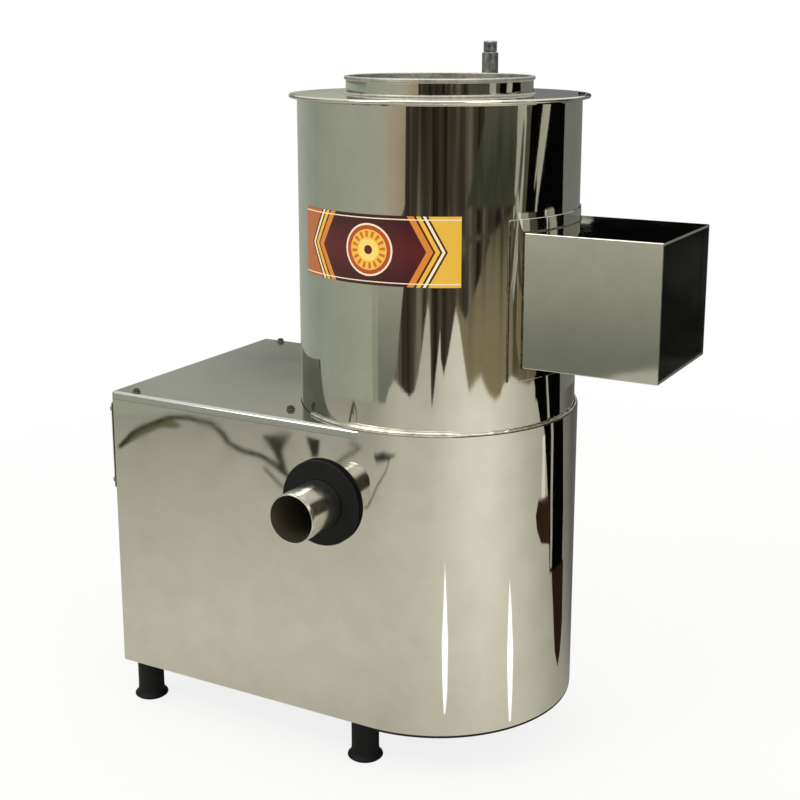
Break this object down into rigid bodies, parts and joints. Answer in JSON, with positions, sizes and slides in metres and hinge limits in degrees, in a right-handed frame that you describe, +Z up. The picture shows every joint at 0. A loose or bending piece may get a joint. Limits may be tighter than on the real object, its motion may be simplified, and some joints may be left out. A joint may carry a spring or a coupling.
{
  "type": "electric potato peeler",
  "caption": "Floor-standing electric potato peeler: stainless drum with abrasive disc and side chute, on a D-shaped motor base with drain pipe, feet and push buttons.",
  "frame": {"origin": "on the floor, under the middle of the machine's overall box", "axes": "+X from the switch panel's flat end towards the round end and the discharge chute, -Y out of the side with the drain pipe and the label, +Z up"},
  "size_m": [0.8358, 0.4964, 1.013],
  "materials": {
    "polished_stainless": "mirror-polished stainless sheet",
    "mill_steel": "plain rolled or machined steel",
    "painted_steel": "dark grey primer on welded angle",
    "cast_iron": "as cast, machined seats",
    "black_rubber": "matt moulded rubber",
    "black_plastic": "moulded nylon",
    "green_plastic": "moulded, glossy",
    "red_plastic": "moulded, glossy",
    "motor_enamel": "satin enamel on cast metal",
    "abrasive_grit": "bonded abrasive grit on a metal backing",
    "label_print": "printed film"
  },
  "bodies": {
    "housing": {"base_shell": "polished_stainless", "base_floor": "mill_steel", "inner_frame": "painted_steel", "deck_cover": "polished_stainless", "cover_screw_1": "mill_steel", "cover_screw_2": "mill_steel", "cover_screw_3": "mill_steel", "cover_screw_4": "mill_steel", "foot_1": "black_rubber", "foot_2": "black_rubber", "foot_3": "black_rubber", "foot_4": "black_rubber", "switch_panel": "polished_stainless", "panel_screw_1": "mill_steel", "panel_screw_2": "mill_steel", "panel_screw_3": "mill_steel", "panel_screw_4": "mill_steel", "start_bezel": "polished_stainless", "stop_bezel": "polished_stainless", "start_contact_block": "black_plastic", "stop_contact_block": "black_plastic", "cable_gland": "black_plastic", "drum_shell": "polished_stainless", "drum_liner": "abrasive_grit", "drum_floor": "mill_steel", "drum_top": "polished_stainless", "feed_collar": "polished_stainless", "seam_ring": "polished_stainless", "discharge_chute": "polished_stainless", "gate_guide_near": "mill_steel", "gate_guide_far": "mill_steel", "front_label": "label_print", "water_inlet": "polished_stainless", "inlet_nut": "mill_steel", "spray_pipe": "mill_steel", "drain_elbow": "mill_steel", "drain_pipe": "polished_stainless", "drain_gasket": "black_rubber", "drain_nut": "mill_steel", "bearing_bridge": "painted_steel", "bearing_housing": "cast_iron", "upper_bearing": "mill_steel", "lower_bearing": "mill_steel", "shaft_seal": "black_rubber", "motor_plate": "painted_steel", "motor_housing": "motor_enamel", "motor_fan_cover": "motor_enamel", "motor_terminal_box": "black_plastic", "drive_belt": "black_rubber"},
    "spindle": {"main_shaft": "mill_steel", "abrasive_disc": "abrasive_grit", "disc_nut": "polished_stainless", "driven_pulley": "cast_iron"},
    "motor_rotor": {"motor_shaft": "mill_steel", "motor_pulley": "cast_iron", "motor_fan": "black_plastic"},
    "start_button": {"start_button": "green_plastic"},
    "stop_button": {"stop_button": "red_plastic"},
    "gate": {"discharge_gate": "polished_stainless"}
  },
  "joints": [
    {"name": "spindle_spin", "type": "hinge", "parent": "housing", "child": "spindle", "pos_m": [0.0519, 0.03675, 0.566], "axis": [0, 0, 1], "continuous": true},
    {"name": "motor_spin", "type": "hinge", "parent": "housing", "child": "motor_rotor", "pos_m": [-0.2831, 0.03675, 0.322], "axis": [0, 0, 1], "continuous": true},
    {"name": "start_press", "type": "slide", "parent": "housing", "child": "start_button", "axis": [1, 0, 0], "range_m": [0, 0.003], "stiffness_N_per_m": 800},
    {"name": "stop_press", "type": "slide", "parent": "housing", "child": "stop_button", "axis": [1, 0, 0], "range_m": [0, 0.003], "stiffness_N_per_m": 800},
    {"name": "gate_slide", "type": "slide", "parent": "housing", "child": "gate", "axis": [0, 0, 1], "range_m": [0, 0.15]}
  ],
  "couplings": [
    {"joint": "motor_spin", "follows": "spindle_spin", "ratio": 3.6087}
  ]
}
